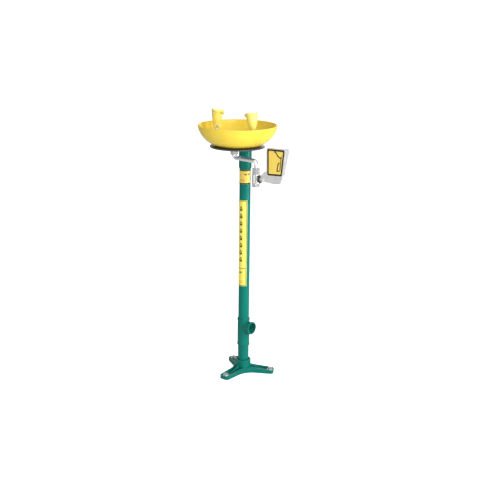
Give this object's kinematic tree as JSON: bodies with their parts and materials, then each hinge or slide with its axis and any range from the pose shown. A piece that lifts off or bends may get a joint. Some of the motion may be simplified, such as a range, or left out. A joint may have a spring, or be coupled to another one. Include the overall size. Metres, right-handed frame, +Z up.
{
  "type": "pedestal eyewash station",
  "caption": "Pedestal eyewash: footed pipe stand with a side waste tee, round bowl, yoke with flip-lid spray heads, and a ball valve turned by a push flag.",
  "frame": {"origin": "on the floor, on the axis of the pedestal pipe, which is the centre of the anchor circle", "axes": "+Z up; -Y is the user's side, so the bowl stands forward towards -Y; +X is the side of the waste outlet, the valve and the push flag"},
  "size_m": [0.3766, 0.292, 1.029],
  "materials": {
    "green_paint": "semi-gloss powder coat",
    "dark_paint": "satin powder coat",
    "zinc": "zinc-plated, dull",
    "yellow_plastic": "moulded, glossy",
    "label_film": "printed vinyl, satin",
    "chrome": "polished",
    "steel": "brushed stainless",
    "brass": "plain",
    "rubber": "matte",
    "white_seal": "smooth",
    "black_plastic": "smooth",
    "filter_foam": "open foam"
  },
  "bodies": {
    "root": {"floor_base": "green_paint", "lower_nipple": "green_paint", "waste_tee": "green_paint", "stand_pipe": "green_paint", "mounting_collar": "green_paint", "support_plate": "dark_paint", "anchor_washers": "zinc", "anchor_nuts": "zinc", "bowl": "yellow_plastic", "head_body_left": "yellow_plastic", "head_body_right": "yellow_plastic", "pole_sign": "label_film", "pole_strip": "label_film", "drain_body": "chrome", "supply_shank": "chrome", "shank_locknut": "chrome", "shank_washer": "chrome", "riser_nut": "chrome", "supply_tube": "chrome", "valve_tube_nut": "chrome", "valve_body": "chrome", "valve_end_cap": "chrome", "gland_nut": "chrome", "yoke_tee": "chrome", "yoke_arm_left": "chrome", "yoke_arm_right": "chrome", "yoke_elbow_left": "chrome", "yoke_elbow_right": "chrome", "head_nut_left": "chrome", "head_nut_right": "chrome", "drain_strainer": "steel", "strainer_screw": "steel", "spray_screen_left": "steel", "spray_screen_right": "steel", "lid_pin_left": "steel", "lid_pin_right": "steel", "tube_ferrules": "brass", "drain_gasket": "rubber", "shank_gasket": "rubber", "valve_seats": "white_seal", "stem_packing": "white_seal", "flow_regulator_left": "black_plastic", "flow_regulator_right": "black_plastic", "filter_disc_left": "filter_foam", "filter_disc_right": "filter_foam"},
    "handle": {"valve_ball": "steel", "valve_stem": "steel", "stem_spacer": "black_plastic", "handle_arm": "steel", "handle_set_screw": "zinc", "push_flag": "steel", "flag_rivets": "steel", "flag_label": "label_film"},
    "left_lid": {"head_lid_left": "yellow_plastic"},
    "right_lid": {"head_lid_right": "yellow_plastic"}
  },
  "joints": [
    {"name": "flag_turn", "type": "hinge", "parent": "root", "child": "handle", "pos_m": [0.103, -0.065, 0.791], "axis": [-1, 0, 0], "range_deg": [0, 90]},
    {"name": "left_lid_flip", "type": "hinge", "parent": "root", "child": "left_lid", "pos_m": [-0.05409, -0.065, 1.0157], "axis": [0, 1, 0], "range_deg": [0, 135]},
    {"name": "right_lid_flip", "type": "hinge", "parent": "root", "child": "right_lid", "pos_m": [0.05409, -0.065, 1.0157], "axis": [0, -1, 0], "range_deg": [0, 135]}
  ]
}
